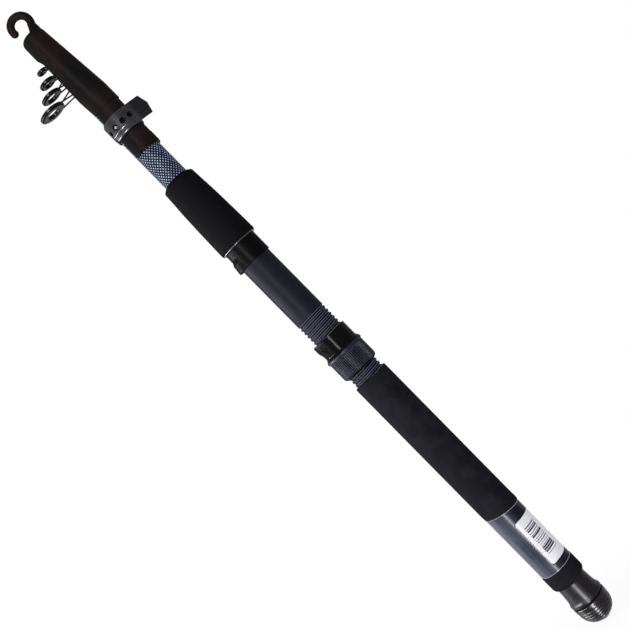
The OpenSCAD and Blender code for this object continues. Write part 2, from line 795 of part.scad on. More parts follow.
module strap_tail() {
    straight_hole = strap_hole_pitch - (leave_a - stud_a - hole_step_a) * PI / 180 * tail_mid_r;
    color([0.23, 0.23, 0.24]) difference() {
        translate([0, 0, strap_z]) linear_extrude(strap_w) {
            polygon(tail_outline());
            translate(hinge_p) circle(d = strap_t);
        }
        for (i = [-1 : 1]) strap_hole(stud_a + i * hole_step_a);
        tail_frame() {
            translate([straight_hole, 0, 0]) rotate([90, 0, 0])
                cylinder(h = 4 * over, d = strap_hole_d, center = true);
            rotate([90, 0, 0]) linear_extrude(4 * over, center = true) {
                polygon([[tail_len, 0], [tail_len - 2 * tail_point, strap_w], [tail_len + 2 * over, strap_w],
                    [tail_len + 2 * over, -strap_w], [tail_len - 2 * tail_point, -strap_w]]);
                polygon([[0, strap_w / 2], [tail_len, strap_w / 2 - tail_taper], [tail_len, strap_w], [0, strap_w]]);
            }
        }
    }
}

// Places what is drawn along +X on the straight end of the tail
module tail_frame() {
    translate([tongue_x, 0, strap_z + strap_w / 2]) rotate([0, 0, leave_a + 90]) translate([0, -tail_mid_r, 0])
        children();
}

butt_blank();
fore_grip();
fore_trim_ring();
front_hood();
reel_seat();
rear_grip();
label_film();
label();
butt_collar();
threaded_bush();
butt_washer();
butt_cap();
shock_pad();
sliding_hood();
lock_nut();
for (k = [2 : 5]) {
    section_blank(k);
    guide_frame(k);
    guide_ring(k);
}
tip_rod();
tip_top_frame();
tip_top_ring();
tip_cover();
strap_band();
strap_stud();
strap_tail();
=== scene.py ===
"""A closed telescopic fishing rod: its soft and fine pieces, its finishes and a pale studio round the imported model."""

import json
import math

import bpy
from bpy.props import FloatProperty, FloatVectorProperty, IntProperty, PointerProperty
from mathutils import Matrix, Vector


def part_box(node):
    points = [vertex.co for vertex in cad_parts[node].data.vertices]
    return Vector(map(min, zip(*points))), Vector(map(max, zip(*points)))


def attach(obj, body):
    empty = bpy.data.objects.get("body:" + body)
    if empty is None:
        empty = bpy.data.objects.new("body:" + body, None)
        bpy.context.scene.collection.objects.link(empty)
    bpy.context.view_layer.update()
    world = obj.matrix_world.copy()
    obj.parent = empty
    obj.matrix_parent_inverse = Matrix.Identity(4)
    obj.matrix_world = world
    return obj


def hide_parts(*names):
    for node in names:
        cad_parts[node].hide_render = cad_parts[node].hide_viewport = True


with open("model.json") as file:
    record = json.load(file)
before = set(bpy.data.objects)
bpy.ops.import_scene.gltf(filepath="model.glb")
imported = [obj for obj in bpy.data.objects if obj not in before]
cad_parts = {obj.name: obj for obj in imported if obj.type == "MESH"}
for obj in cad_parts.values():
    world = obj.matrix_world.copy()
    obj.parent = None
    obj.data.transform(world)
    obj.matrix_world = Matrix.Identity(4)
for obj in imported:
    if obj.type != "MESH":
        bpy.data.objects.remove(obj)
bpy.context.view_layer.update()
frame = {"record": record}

bl_info = {
    "name": "Telescopic fishing rod",
    "version": (1, 0, 0),
    "blender": (4, 5, 0),
    "location": "View3D > Sidebar > Rod",
    "description": "Models the rod's foam, thread, hoods, nut and strap and gives every piece its finish",
    "category": "Object",
}

MM = 0.001
FULL_TURN = 2 * math.pi
MERGE_GAP = 0.002 * MM
CUT_TOLERANCE = 0.0005 * MM
ROUND_STEPS, FINE_STEPS, THREAD_STEPS = 96, 128, 72


def reach(node):
    """A node's lowest and highest place along the rod and how far it reaches towards the viewer, in millimetres."""
    low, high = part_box(node)
    return low[2] / MM, high[2] / MM, -low[1] / MM


# Places along the rod and radii, in millimetres, and angles round it, in degrees.
REAR_LOW, REAR_TOP, REAR_R = reach("rear_grip")
FORE_LOW, FORE_TOP, FORE_R = reach("fore_grip")
SEAT_LOW, SEAT_TOP, SEAT_R = reach("reel_seat")
NUT_LOW, NUT_TOP, FLANGE_R = reach("lock_nut")
SLIDE_LOW, SLIDE_TOP, SLIDE_R = reach("sliding_hood")
FRONT_LOW, FRONT_TOP, FRONT_R = reach("front_hood")
FILM_LOW, FILM_TOP, FILM_R = reach("label_film")
BAND_LOW, BAND_TOP, BAND_R = reach("strap_band")
LABEL_FOOT, LABEL_TOP, LABEL_R = reach("label")

SEAT_BORE, THREAD_BORE = 10.3, 10.45
NECK_SOCKET, NECK_SOCKET_DEPTH, BLANK_BORE = 11.62, 7.6, 10.6
FORE_BORE_LOW, FORE_BORE_TOP = 10.05, 9.95
NECK_STEM, NECK_BORE = 11.5, 10.65

LABEL_TRIM, LABEL_CORNER = 1.6, 1.6
LABEL_LOW = LABEL_FOOT + LABEL_TRIM
LABEL_START, LABEL_TURN = -95, 131
BARS_LOW, BARS_TOP, BAR_STEP = LABEL_LOW + 7.4, LABEL_LOW + 31.9, 1.65
BARS_START, BARS_END = -82, -36
SHEET_WALL = 0.1

FILM_TILT = math.radians(9)
FILM_SLANT = math.tan(FILM_TILT)
FILM_MIDDLE = FILM_TOP - FILM_SLANT * FILM_R

WEAVE_PITCH = 2.7
CAP_PITCH = 2.0

BAND_X = sum(corner[0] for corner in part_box("strap_band")) / 2 / MM
BAND_MIDDLE = (BAND_LOW + BAND_TOP) / 2
STRAP_BEAD = BAND_LOW + 3.9
HINGE = next(joint for joint in frame["record"]["behaviour"]["joints"] if joint["name"] == "strap_peel")["pos_m"]

# The stage, in metres, and the light that the white surround gives the rod.
FLOOR_R, SHADOW_R = 0.09, 0.03
SURROUND_FILL = 0.65
SENSOR_WIDTH = 36
SEEN_RAYS = ("Is Camera Ray", "Is Glossy Ray", "Is Transmission Ray")

# Most of a noise lies between these two values.
MOTTLE = (0.3, 0.7)


def length(name, description, default):
    return FloatProperty(name=name, description=description, default=default, unit="LENGTH", precision=5)


def shade(name, description, default):
    return FloatVectorProperty(name=name, description=description, default=default, size=3, subtype="COLOR",
                               min=0, max=1)


def watts(name, description, default):
    return FloatProperty(name=name, description=description, default=default, subtype="POWER")


class RodSizes(bpy.types.PropertyGroup):
    """Sizes of the pieces that are modelled here."""

    grip_radius: length("Rear grip radius", "Radius of the rear foam grip", REAR_R * MM)
    grip_round: length("Rear grip rounding", "Rounding of the rear grip's lower end", 3 * MM)
    film_squeeze: length("Film squeeze", "Depth that the film draws the foam in", 0.6 * MM)
    thread_pitch: length("Thread pitch", "Pitch of the reel seat's thread", 3.2 * MM)
    thread_depth: length("Thread depth", "Depth of the reel seat's thread", 0.8 * MM)
    thread_length: length("Thread length", "Length of the reel seat's thread", 60.8 * MM)
    nut_ribs: IntProperty(name="Nut ribs", description="Ribs round the lock nut", default=64, min=12, max=120,
                          subtype="UNSIGNED")
    strap_thickness: length("Strap thickness", "Thickness of the strap", 1.3 * MM)


class RodColours(bpy.types.PropertyGroup):
    """Colours of the finishes, in linear light."""

    foam: shade("Rear foam", "Rear grip", (0.0078, 0.0078, 0.0106))
    fore: shade("Fore foam", "Fore grip", (0.0028, 0.0028, 0.0034))
    seat: shade("Reel seat", "Seat tube", (0.0105, 0.0110, 0.0165))
    nut: shade("Lock nut", "Ribbed nut", (0.0105, 0.0115, 0.0185))
    gloss: shade("Gloss black", "Hoods", (0.004, 0.004, 0.0045))
    trim: shade("Trim ring", "Ring below the fore grip", (0.055, 0.055, 0.065))
    cap: shade("Butt", "Butt cap and neck", (0.0080, 0.0060, 0.0104))
    washer: shade("Washer", "Washer on the butt cap", (0.002, 0.002, 0.002))
    pad: shade("Shock pad", "Rubber pad on the cap's plug", (0.012, 0.012, 0.013))
    bush: shade("Bush", "Turned metal bush", (0.62, 0.62, 0.64))
    cover: shade("Tip cover", "Cover, tongue and hook", (0.0105, 0.0079, 0.0070))
    strap: shade("Strap", "Band and tail", (0.031, 0.030, 0.034))
    # Painted shadow: the band's colour where the tail lies over it.
    overlap: shade("Strap overlap", "Band where the tail lies over it", (0.0012, 0.0012, 0.0016))
    stud: shade("Stud", "Strap's stud", (0.30, 0.30, 0.32))
    blank: shade("Blank", "Ground of the weave", (0.0035, 0.0060, 0.0190))
    weave: shade("Weave", "Light fibres of the weave", (0.50, 0.58, 0.76))
    tip: shade("Tip", "Solid tip section", (0.02, 0.022, 0.03))
    film: shade("Film", "Clear film as it lies on the foam", (0.050, 0.056, 0.082))
    # Painted reflection on the film's −X side.
    film_side_reflection: shade("Film haze", "Film where it stands off the foam", (0.17, 0.17, 0.182))
    # Painted highlight along the film's two cut edges.
    film_edge_highlight: shade("Film edge", "Film's two cut edges", (0.30, 0.31, 0.35))
    label: shade("Label", "Label's paper", (0.76, 0.76, 0.80))
    ink: shade("Ink", "Label's bars", (0.035, 0.035, 0.045))
    wire: shade("Guide wire", "Guide frames", (0.004, 0.004, 0.005))
    ring: shade("Guide ring", "Hard rings", (0.008, 0.008, 0.012))
    ground: shade("Ground", "Studio floor", (0.85, 0.85, 0.85))
    surround: shade("Surround", "White round the rod", (1.0, 1.0, 1.0))


class StageSettings(bpy.types.PropertyGroup):
    """Camera and light."""

    eye: FloatVectorProperty(name="Eye", description="Place of the camera", default=(0.0027, -0.70, 0.2921),
                             subtype="TRANSLATION")
    roll: FloatProperty(name="Roll", description="Turn of the camera about its view", default=math.radians(-44.56),
                        subtype="ANGLE")
    lens: FloatProperty(name="Lens", description="Focal length in millimetres", default=57.2, unit="CAMERA")
    key_power: watts("Key", "Power of the soft key light beside the camera", 3.6)
    strip_power: watts("Strip", "Power of the strip that glossy pieces mirror", 100.0)
    edge_power: watts("Edge strip", "Power of the strip mirrored along the guides' side", 12.0)
    card_power: watts("Seat card", "Power of the card mirrored in the reel seat", 55.0)
    side_power: watts("Side box", "Power of the soft box on the guides' side", 4.0)
    rim_power: watts("Rim strip", "Power of the strip behind the strap's side", 0.8)


class Wire:
    """A shader value that takes part in Python expressions."""

    def __init__(self, made, socket):
        self.made = made
        self.socket = socket

    def __add__(self, other):
        return self.made.math("ADD", self, other)

    def __sub__(self, other):
        return self.made.math("SUBTRACT", self, other)

    def __rsub__(self, other):
        return self.made.math("SUBTRACT", other, self)

    def __mul__(self, other):
        return self.made.math("MULTIPLY", self, other)

    def __gt__(self, other):
        return self.made.math("GREATER_THAN", self, other)

    def __lt__(self, other):
        return self.made.math("LESS_THAN", self, other)

    __radd__ = __add__
    __rmul__ = __mul__


class Nodes:
    """A node tree that is written as expressions."""

    def __init__(self, tree):
        self.tree = tree

    def node(self, kind, settings=None, sockets=None, out=0):
        made = self.tree.nodes.new(kind)
        for key, value in (settings or {}).items():
            setattr(made, key, value)
        for key, value in (sockets or {}).items():
            self.join(made.inputs[key], value)
        return Wire(self, made.outputs[out])

    def join(self, socket, value):
        if isinstance(value, Wire):
            self.tree.links.new(value.socket, socket)
        elif socket.type == "RGBA" and len(value) == 3:
            socket.default_value = (*value, 1)
        else:
            socket.default_value = value

    def outputs(self, wire, names):
        """Several outputs of the node that a wire comes from."""
        return [Wire(self, wire.socket.node.outputs[name]) for name in names]

    def math(self, operation, *values):
        return self.node("ShaderNodeMath", {"operation": operation}, dict(enumerate(values)))

    def fit(self, value, low, high, to_low=0.0, to_high=1.0):
        """Goes smoothly from one level to the other as the value goes from low to high, and stays level outside."""
        return self.node("ShaderNodeMapRange", {"interpolation_type": "SMOOTHSTEP"}, {
            "Value": value, "From Min": low, "From Max": high, "To Min": to_low, "To Max": to_high})

    def seen(self):
        """One for rays from the camera, off a glossy piece or through a clear one, and zero for those that light."""
        camera, glossy, clear = self.outputs(self.node("ShaderNodeLightPath"), SEEN_RAYS)
        return camera + glossy + clear


class Finish(Nodes):
    """A material whose nodes are written as expressions."""

    def __init__(self, name, **sockets):
        self.material = bpy.data.materials.new(name)
        self.material.use_nodes = True
        super().__init__(self.material.node_tree)
        self.shader = self.tree.nodes["Principled BSDF"]
        self.feed(**sockets)

    def feed(self, **sockets):
        """Sets or links the shader's sockets, named with _ for each space."""
        for key, value in sockets.items():
            self.join(self.shader.inputs[key.replace("_", " ")], value)

    def place(self):
        """The piece's own coordinates, in metres."""
        return self.node("ShaderNodeTexCoord", out="Object")

    def drawn(self, share):
        """The same, with what is drawn on them stretched along the rod."""
        return self.node("ShaderNodeMapping", sockets={"Vector": self.place(), "Scale": (1.0, 1.0, share)})

    def axes(self):
        return self.outputs(self.node("ShaderNodeSeparateXYZ", sockets={0: self.place()}), "XYZ")

    def radius(self, x, y):
        return self.math("SQRT", x * x + y * y)

    def angle(self, x, y):
        return self.math("ARCTAN2", y, x)

    def noise(self, scale, detail=3.0, where=None):
        return self.node("ShaderNodeTexNoise", sockets={
            "Vector": where or self.place(), "Scale": scale, "Detail": detail, "Roughness": 0.55})

    def ramp(self, value, low, high, to_low=0.0, to_high=1.0):
        """A fit between two lengths in millimetres."""
        return self.fit(value, low * MM, high * MM, to_low, to_high)

    def stripe(self, value, rise, full, fall, gone):
        """One between the two middle lengths, in millimetres, fading to zero at the outer two."""
        return self.ramp(value, rise, full) - self.ramp(value, fall, gone)

    def blend(self, factor, first, second):
        return self.node("ShaderNodeMix", {"data_type": "RGBA"}, {0: factor, 6: first, 7: second}, out=2)

    def bump(self, height, strength, depth):
        """A bump whose full depth is in millimetres."""
        return self.node("ShaderNodeBump", sockets={"Height": height, "Strength": strength, "Distance": depth * MM})


def colour(name):
    """A finish's colour, from the scene's settings."""
    return tuple(getattr(bpy.context.scene.rod_colours, name))


def tint(base, factor):
    return tuple(min(1.0, channel * factor) for channel in base)


def foam_finish(name, base):
    """Closed-cell foam: fine pits, with a faint haze of handling."""
    made = Finish(name, Specular_IOR_Level=0.01)
    cells = made.node("ShaderNodeTexVoronoi", {"feature": "F1"}, {"Vector": made.place(), "Scale": 2600.0})
    haze = made.noise(90.0)
    made.feed(Base_Color=made.blend(made.fit(haze, 0.35, 0.7), tint(base, 0.8), tint(base, 1.5)),
              Roughness=made.fit(haze, *MOTTLE, 0.74, 0.9),
              Normal=made.bump(cells + made.noise(700.0) * 0.6, strength=0.35, depth=0.12))
    return made.material


def moulded_shade(made, flow, base):
    return made.blend(made.fit(flow, 0.3, 0.75), tint(base, 0.85), tint(base, 1.2))


def moulded_finish(name, base, rough, wear=0.05, grain=0.06, shine=0.12):
    """Moulded plastic or rubber, uneven in tone and polish, with a fine grain."""
    made = Finish(name, Specular_IOR_Level=shine)
    flow = made.noise(55.0, detail=4.0)
    made.feed(Base_Color=moulded_shade(made, flow, base),
              Roughness=made.fit(flow, *MOTTLE, rough - wear, rough + wear),
              Normal=made.bump(made.noise(1500.0, detail=2.0), strength=grain, depth=0.06))
    return made.material


def cover_finish():
    """Recycled black moulding that shades from neutral to a faint red-brown."""
    made = Finish("satin brown-black cover", Specular_IOR_Level=0.004)
    red, green, blue = colour("cover")
    neutral = (red * 0.7, red * 0.68, red * 0.68)
    brown = (red * 1.5, green * 1.25, blue * 1.2)
    flow = made.noise(85.0, where=made.drawn(0.3))
    made.feed(Base_Color=made.blend(made.fit(flow, 0.4, 0.66), neutral, brown),
              Roughness=made.fit(flow, *MOTTLE, 0.36, 0.48),
              Normal=made.bump(made.noise(1400.0, detail=2.0), strength=0.1, depth=0.06))
    return made.material


def seat_finish(thread_end):
    """Satin moulding whose thread has painted shade in its roots and a painted highlight along the edges of its
    crests.
    """
    made = Finish("satin moulded seat", Specular_IOR_Level=0.01)
    base = colour("seat")
    x, y, z = made.axes()
    out = made.radius(x, y)
    # Painted highlight: the slopes at the edges of the thread's crests are tinted light.
    edge = made.stripe(out, SEAT_R - 0.55, SEAT_R - 0.3, SEAT_R - 0.1, SEAT_R - 0.02)
    # Painted shade: the thread's roots are tinted dark.
    root = made.ramp(out, SEAT_R - 0.7, SEAT_R - 0.4)
    flow = made.noise(55.0, detail=4.0)
    # The thread's colour carries painted shade in its roots and a painted highlight on its crest edges.
    thread = made.blend(edge, made.blend(root, tint(base, 0.2), base), tint(base, 15.0))
    made.feed(Base_Color=made.blend(z < thread_end * MM, moulded_shade(made, flow, base), thread),
              Roughness=made.fit(flow, *MOTTLE, 0.44, 0.56))
    return made.material


def nut_finish(crest):
    """Satin moulding with a painted highlight on the ribs' crests and painted shade between them."""
    made = Finish("satin moulded nut", Specular_IOR_Level=0.024)
    base = colour("nut")
    out = made.radius(*made.axes()[:2])
    flow = made.noise(130.0)
    # Painted highlight on the ribs' crests, of uneven strength.
    crest_highlight = made.blend(made.fit(flow, 0.35, 0.7), tint(base, 1.6), tint(base, 4.5))
    # Painted shade in the grooves between the ribs.
    ribbed = made.blend(made.ramp(out, crest - 0.35, crest - 0.08), tint(base, 0.35), crest_highlight)
    made.feed(Base_Color=made.blend(out > (crest + 0.12) * MM, ribbed, tint(base, 1.3)),
              Roughness=made.fit(flow, *MOTTLE, 0.34, 0.46))
    return made.material


def strap_finish():
    """Satin rubber, polished along its bead and lower edge; matt where the tail lies over the band, with a painted
    shadow there, and painted shade towards the tail's end.
    """
    made = Finish("satin rubber strap", Specular_IOR_Level=0.02, Coat_Roughness=0.28)
    base = colour("strap")
    x, y, z = made.axes()
    across = x - BAND_X * MM
    angle = made.angle(across, y)
    # Painted shadow on the band where the tail lies over it; the band is also made matt there.
    under_tail = made.fit(angle, math.radians(-50), math.radians(-34), 1.0, 0.0) * (angle > math.radians(-160))
    tail_shadow_mask = (made.radius(across, y) < (BAND_R + 0.12) * MM) * under_tail
    flow = made.noise(70.0)
    worn = made.blend(made.fit(flow, *MOTTLE), tint(base, 0.75), tint(base, 1.3))
    bead = made.stripe(z, STRAP_BEAD - 0.4, STRAP_BEAD - 0.15, STRAP_BEAD + 0.15, STRAP_BEAD + 0.4)
    edge = made.stripe(z, BAND_LOW + 0.05, BAND_LOW + 0.3, BAND_LOW + 0.7, BAND_LOW + 1.0)
    rubbed = (bead + edge * 0.5) * made.ramp(x, 0.5, 4, 0.65, 0.0) * (1 - tail_shadow_mask)
    # Painted shade: the tail darkens towards its free end.
    tail_end_shade = made.blend(made.ramp(x, BAND_X + 10.5, BAND_X + 14), worn, tint(base, 0.34))
    made.feed(Base_Color=made.blend(tail_shadow_mask, tail_end_shade, colour("overlap")),
              Roughness=made.fit(flow, *MOTTLE, 0.36, 0.46) * (1 - tail_shadow_mask) + tail_shadow_mask,
              Coat_Weight=rubbed)
    return made.material


def weave_finish(blank_r):
    """Two crossing sets of fibres under a clear coat."""
    made = Finish("woven fibre blank", Specular_IOR_Level=0.012)
    x, y, z = made.axes()
    cells = round(FULL_TURN * blank_r / WEAVE_PITCH)
    turn = made.angle(x, y) * (cells / FULL_TURN)
    rise = z * (1 / (WEAVE_PITCH * MM))
    nearer = made.math("MINIMUM", *[made.math("PINGPONG", way, 0.5) for way in (turn + rise, turn - rise)])
    light = made.fit(nearer, 0.21, 0.37)
    patch = made.fit(made.noise(260.0), *MOTTLE, 0.45, 1.0)
    made.feed(Base_Color=made.blend(light * patch, colour("blank"), colour("weave")),
              Roughness=made.fit(nearer, 0.05, 0.3, 0.42, 0.26),
              Normal=made.bump(light, strength=0.25, depth=0.08))
    return made.material


def film_finish():
    """Film with a streaky painted reflection on one side and painted shade on the other, clear on the label and with
    painted highlights along its edges.
    """
    made = Finish("clear shrink film", Specular_IOR_Level=0.05)
    base = colour("film")
    x, y, z = made.axes()
    angle = made.angle(x, y)
    start, end = math.radians(LABEL_START), math.radians(LABEL_START + LABEL_TURN)
    over_label = (z > LABEL_LOW * MM) * (z < LABEL_TOP * MM) * (angle > start) * (angle < end)
    streak = made.fit(made.noise(260.0, where=made.drawn(0.06)), *MOTTLE)
    pull = made.fit(made.noise(40.0, detail=2.0), *MOTTLE)
    # Streaky tone of the film's −X side, which carries its painted reflection.
    streaky_reflection = made.blend(streak * 0.6 + pull * 0.4, tint(base, 0.55), tint(base, 1.5))
    # Painted reflection: the film grows pale towards its −X edge.
    pale = made.blend(made.ramp(x, -FILM_R, -0.72 * FILM_R, 0.75, 0.0), streaky_reflection, colour("film_side_reflection"))
    # Painted shade: the film darkens towards its +X side.
    far_side_shade = made.blend(made.ramp(x, 0, 6), tint(base, 0.55), tint(base, 0.13))
    body = made.blend(made.ramp(x, -0.4, 0.6), pale, far_side_shade)
    below_top = FILM_MIDDLE * MM - FILM_SLANT * x - z
    # Painted highlight along the film's upper and lower cut edges.
    edge = made.ramp(below_top, 0.25, 0.6, 1.0, 0.0) + made.ramp(z, FILM_LOW + 0.25, FILM_LOW + 0.6, 1.0, 0.0)
    made.feed(Base_Color=made.blend(edge, body, colour("film_edge_highlight")),
              Roughness=made.fit(pull, 0.0, 1.0, 0.18, 0.3),
              Alpha=1 - over_label)
    return made.material


def label_finish():
    """White paper with a block of plain bars, each of its own width."""
    made = Finish("printed label", Specular_IOR_Level=0.02)
    paper = colour("label")
    x, y, z = made.axes()
    place = (z - BARS_LOW * MM) * (1 / (BAR_STEP * MM))
    column = made.math("FLOOR", place)
    draw = made.node("ShaderNodeTexWhiteNoise", {"noise_dimensions": "1D"}, {"W": column * 1.37 + 0.31})
    angle = made.angle(x, y)
    inside = ((z > BARS_LOW * MM) * (z < BARS_TOP * MM)
              * (angle > math.radians(BARS_START)) * (angle < math.radians(BARS_END)))
    ink = ((place - column) < made.fit(draw, 0.0, 1.0, 0.16, 0.8)) * inside
    haze = made.fit(made.noise(180.0), *MOTTLE)
    made.feed(Base_Color=made.blend(ink, made.blend(haze, tint(paper, 0.95), paper), colour("ink")),
              Roughness=made.fit(haze, 0.0, 1.0, 0.3, 0.42))
    return made.material


def bush_finish():
    """Turned metal."""
    made = Finish("turned bush", Base_Color=colour("bush"), Metallic=1.0)
    made.feed(Roughness=made.fit(made.noise(900.0), *MOTTLE, 0.25, 0.42))
    return made.material


def ground_finish():
    """A white ground that takes a faint shadow near the rod and otherwise lets the white surround through."""
    made = Finish("pale studio ground", Base_Color=colour("ground"), Roughness=0.9)
    away = made.node("ShaderNodeVectorMath", {"operation": "LENGTH"}, {0: made.place()}, out="Value")
    share = made.fit(away, SHADOW_R, FLOOR_R, 0.9, 1.0) * made.seen()
    clear = made.node("ShaderNodeBsdfTransparent", sockets={"Color": (1, 1, 1)})
    joined = made.node("ShaderNodeMixShader", sockets={0: share, 1: Wire(made, made.shader.outputs[0]), 2: clear})
    made.join(made.tree.nodes["Material Output"].inputs["Surface"], joined)
    return made.material


def object_mode():
    if bpy.context.mode != "OBJECT":
        bpy.ops.object.mode_set(mode="OBJECT")


def deselect():
    object_mode()
    bpy.ops.object.select_all(action="DESELECT")


def outline(name, points):
    """Starts a piece as a line, drawn by extruding one vertex from point to point."""
    deselect()
    bpy.ops.mesh.primitive_plane_add(size=MM)
    piece = bpy.context.object
    piece.name = piece.data.name = name
    bpy.ops.object.mode_set(mode="EDIT")
    bpy.ops.mesh.select_mode(type="VERT")
    bpy.ops.mesh.merge(type="CENTER")
    bpy.ops.transform.translate(value=points[0])
    for before, after in zip(points, points[1:]):
        bpy.ops.mesh.extrude_region_move(TRANSFORM_OT_translate={"value": after - before})
    return piece


def section(name, points):
    """Starts a piece as a face with the given corners."""
    piece = outline(name, [*points, points[0].copy()])
    bpy.ops.mesh.select_all(action="SELECT")
    bpy.ops.mesh.remove_doubles(threshold=MERGE_GAP)
    bpy.ops.mesh.edge_face_add()
    return piece


def weld():
    """Merges what lies in one place and turns the faces outwards."""
    bpy.ops.mesh.select_all(action="SELECT")
    bpy.ops.mesh.remove_doubles(threshold=MERGE_GAP)
    bpy.ops.mesh.normals_make_consistent(inside=False)
    bpy.ops.mesh.select_all(action="DESELECT")


def fill_ends(sides):
    bpy.ops.mesh.select_all(action="SELECT")
    bpy.ops.mesh.fill_holes(sides=sides)
    weld()


def lathe(name, stations, steps=ROUND_STEPS, closed=True):
    """Turns stations of radius and height, in millimetres, into a round piece."""
    points = [Vector((r * MM, 0, z * MM)) for r, z in stations]
    if closed:
        points.append(points[0].copy())
    piece = outline(name, points)
    bpy.ops.mesh.select_all(action="SELECT")
    bpy.ops.mesh.spin(steps=steps, angle=FULL_TURN, center=(0, 0, 0), axis=(0, 0, 1))
    weld()
    return piece


def sweep(name, stations, start, turn, steps, centre_x=0.0):
    """Carries a closed outline of radius and height part of the way round, from one angle in degrees."""
    a = math.radians(start)
    piece = section(name, [Vector((centre_x + r * math.cos(a), r * math.sin(a), z)) * MM for r, z in stations])
    bpy.ops.mesh.spin(steps=steps, angle=-math.radians(turn), center=(centre_x * MM, 0, 0), axis=(0, 0, 1))
    fill_ends(len(stations))
    return piece


def pick(piece, test):
    """Selects the vertices, in edit mode, whose place in millimetres passes the test."""
    bpy.ops.object.mode_set(mode="OBJECT")
    found = 0
    for vertex in piece.data.vertices:
        vertex.select = bool(test(vertex.co / MM))
        found += vertex.select
    for part in (*piece.data.edges, *piece.data.polygons):
        part.select = False
    bpy.ops.object.mode_set(mode="EDIT")
    bpy.ops.mesh.select_mode(type="VERT")
    if not found:
        raise RuntimeError(f"nothing of {piece.name} was picked")


def slant(piece, test):
    """Tilts the picked rows to the film's slanted upper edge."""
    centre = (0, 0, FILM_MIDDLE * MM)
    pick(piece, test)
    bpy.ops.transform.rotate(value=-FILM_TILT, orient_axis="Y", center_override=centre)
    bpy.ops.transform.resize(value=(1 / math.cos(FILM_TILT), 1, 1), center_override=centre)


def shape(piece, kind, **settings):
    """Adds a modifier and applies it."""
    object_mode()
    bpy.context.view_layer.objects.active = piece
    bpy.ops.object.modifier_add(type=kind)
    modifier = piece.modifiers[-1]
    for key, value in settings.items():
        setattr(modifier, key, value)
    bpy.ops.object.modifier_apply(modifier=modifier.name)


def combine(piece, operation, other):
    """Joins another shape to a piece or cuts it out, and removes the other."""
    shape(piece, "BOOLEAN", operation=operation, object=other, solver="EXACT")
    bpy.data.objects.remove(other)


def settle(piece, body, material, node, angle=35):
    """Gives a piece its finish and the place of the node that it stands for."""
    deselect()
    piece.select_set(True)
    bpy.context.view_layer.objects.active = piece
    bpy.ops.object.shade_smooth_by_angle(angle=math.radians(angle))
    piece.data.materials.clear()
    piece.data.materials.append(material)
    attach(piece, body)
    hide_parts(node)
    deselect()


def paint(node, material):
    """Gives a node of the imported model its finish."""
    mesh = bpy.data.objects[node].data
    mesh.materials.clear()
    mesh.materials.append(material)


def arc(r, z, radius, start, end, steps=8):
    """Points of a rounded corner round a centre, in millimetres."""
    turns = [math.radians(start + (end - start) * i / steps) for i in range(steps + 1)]
    return [(r + radius * math.cos(a), z + radius * math.sin(a)) for a in turns]


def spread(first, last, steps):
    """Even steps from the first value to the last, both included."""
    return [first + (last - first) * i / steps for i in range(steps + 1)]


class ROD_OT_blanks(bpy.types.Operator):
    """Finish the nested tubes and the tip"""

    bl_idname = "rod.blanks"
    bl_label = "Blanks"

    def execute(self, context):
        for node in ("butt_blank", "blank_2", "blank_3", "blank_4", "blank_5"):
            paint(node, weave_finish(reach(node)[2]))
        paint("tip_rod", moulded_finish("clear-coated tip", colour("tip"), rough=0.25))
        return {"FINISHED"}


class ROD_OT_grips(bpy.types.Operator):
    """Model the two foam grips"""

    bl_idname = "rod.grips"
    bl_label = "Foam grips"

    def execute(self, context):
        self.rear(context.scene.rod_sizes, foam_finish("closed-cell foam, rear", colour("foam")))
        self.fore(foam_finish("closed-cell foam, fore", colour("fore")))
        return {"FINISHED"}

    @staticmethod
    def rear(sizes, foam):
        """The rear grip, rounded at the butt and drawn in under the film, with a socket for the neck."""
        r = sizes.grip_radius / MM
        waist = r - sizes.film_squeeze / MM - 0.02
        edge, rim = sizes.grip_round / MM, 0.6
        ease_in = [(r, -0.9), (r - 0.12, -0.3), (waist + 0.1, 0.45), (waist, 1.2)]
        ease_out = [(waist, -1.2), (waist + 0.1, -0.5), (r - 0.12, 0.35), (r, 0.9)]
        socket_top = REAR_LOW + NECK_SOCKET_DEPTH
        piece = lathe("rear_grip_foam", [
            (NECK_SOCKET, REAR_LOW), *arc(r - edge, REAR_LOW + edge, edge, -90, 0),
            *[(out, FILM_LOW + up) for out, up in ease_in],
            *[(waist, z) for z in spread(FILM_LOW + 1.2, FILM_MIDDLE - 6.8, 6)[1:]],
            *[(out, FILM_MIDDLE + up) for out, up in ease_out],
            *[(r, z) for z in spread(FILM_MIDDLE + 6, REAR_TOP - 2, 10)],
            *arc(r - rim, REAR_TOP - rim, rim, 0, 90, 4),
            (SEAT_BORE, REAR_TOP), (BLANK_BORE, socket_top), (NECK_SOCKET, socket_top)])
        slant(piece, lambda p: abs(p.z - FILM_MIDDLE) < 1.5 and p.xy.length > waist - 0.5)
        settle(piece, "handle", foam, "rear_grip")

    @staticmethod
    def fore(foam):
        """The fore grip, which tapers to a chamfered upper end."""
        rim, chamfer = 0.7, 1.4
        taper = [(0.1, 8), (0.3, 17), (0.52, 26), (0.85, 36), (1.2, 44), (1.6, 50)]
        piece = lathe("fore_grip_foam", [
            (FORE_BORE_LOW, FORE_LOW), *arc(FORE_R - rim, FORE_LOW + rim, rim, -90, 0, 5),
            *[(FORE_R - less, FORE_LOW + up) for less, up in taper],
            *arc(FORE_R - 3.45, FORE_TOP - 3.2, chamfer, 8, 55, 6), (FORE_BORE_TOP, FORE_TOP - 0.2)])
        settle(piece, "handle", foam, "fore_grip")


